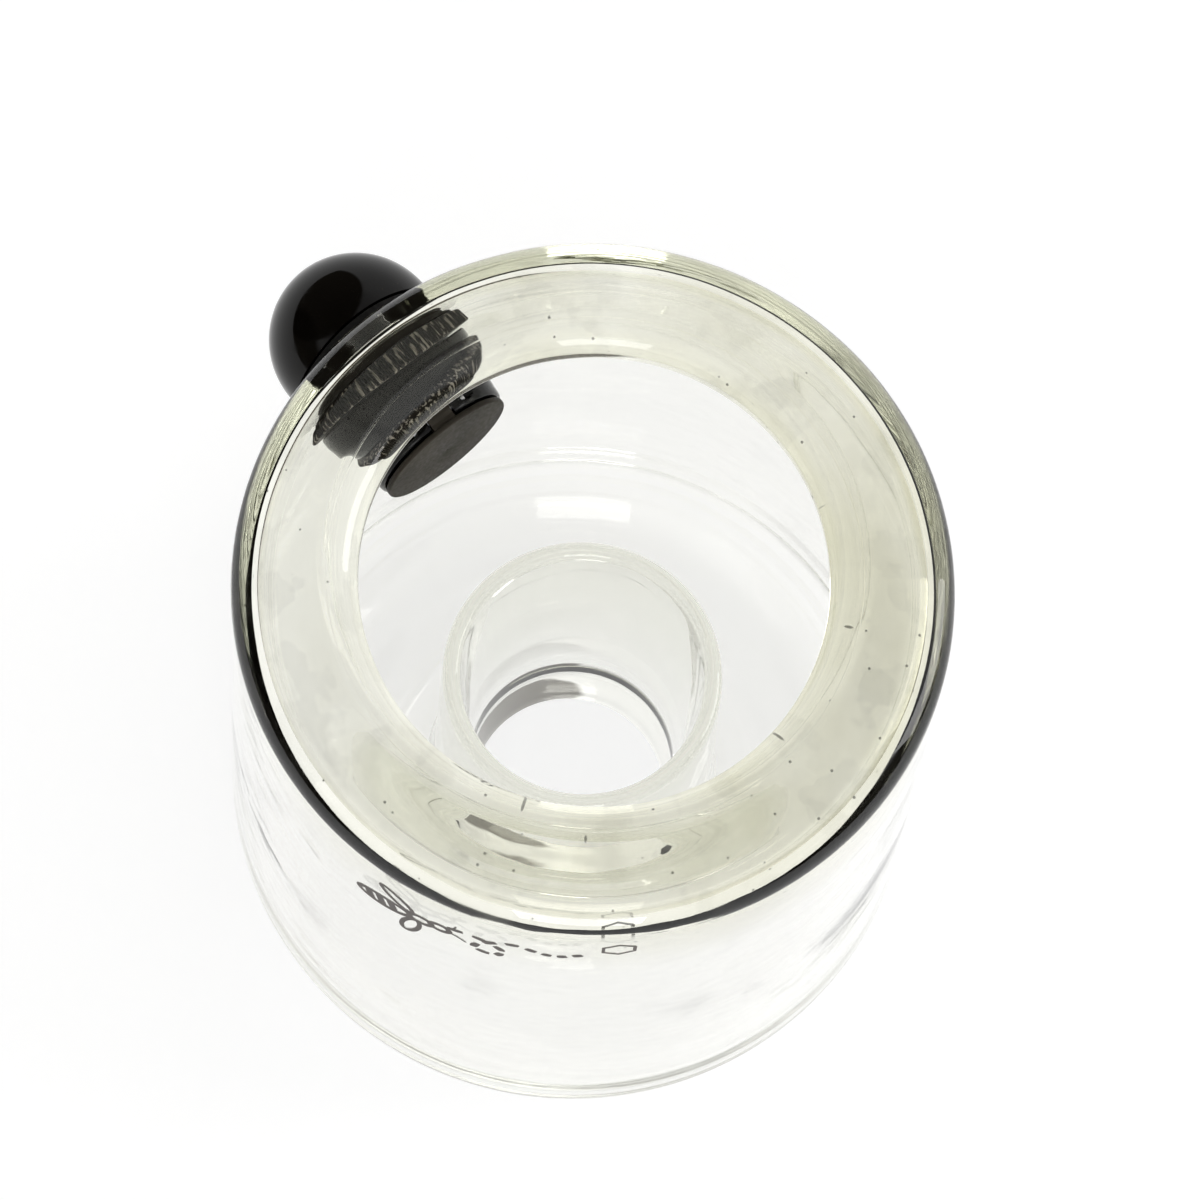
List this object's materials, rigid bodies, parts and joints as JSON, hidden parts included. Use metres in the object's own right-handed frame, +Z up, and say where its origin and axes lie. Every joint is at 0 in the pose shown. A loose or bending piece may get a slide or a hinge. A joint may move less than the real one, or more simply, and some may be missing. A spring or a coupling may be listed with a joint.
{
  "type": "glass wasp trap",
  "caption": "Thick clear glass wasp trap jar with a wide rolled mouth, an open chimney in its base, and a black hooded side entry with a hinged one-way flap.",
  "frame": {"origin": "under the middle of the whole trap, hood included, at the level of the foot; the jar's own axis is 7.9 mm from it along +X", "axes": "+Z up along the jar's axis; -X is the way the side entry points; -Y is the printed front"},
  "size_m": [0.1238, 0.108, 0.12],
  "materials": {
    "clear_glass": "thick clear soda glass with a faint grey-green tint, a few dried splashes and dust specks",
    "gloss_black": "polished black moulded plastic",
    "ribbed_black": "black moulded plastic with fine ribs, slightly dusty",
    "rubber": "plain black sealing rubber",
    "flap_grey": "thin matte dark grey plastic sheet",
    "steel": "bright drawn steel wire",
    "print_ink": "fired dark brown ceramic ink on the glass"
  },
  "bodies": {
    "trap": {"jar_foot": "clear_glass", "jar_body": "clear_glass", "jar_shoulder": "clear_glass", "base_chimney": "clear_glass", "entry_hood": "gloss_black", "outer_gasket": "rubber", "inner_gasket": "rubber", "lock_nut": "ribbed_black", "end_collar": "gloss_black", "flap_pin": "steel"},
    "flap": {"one_way_flap": "flap_grey"}
  },
  "joints": [
    {"name": "flap_hinge", "type": "hinge", "parent": "trap", "child": "flap", "pos_m": [-0.029, 0, 0.1051], "axis": [0, -1, 0], "range_deg": [0, 70]}
  ]
}
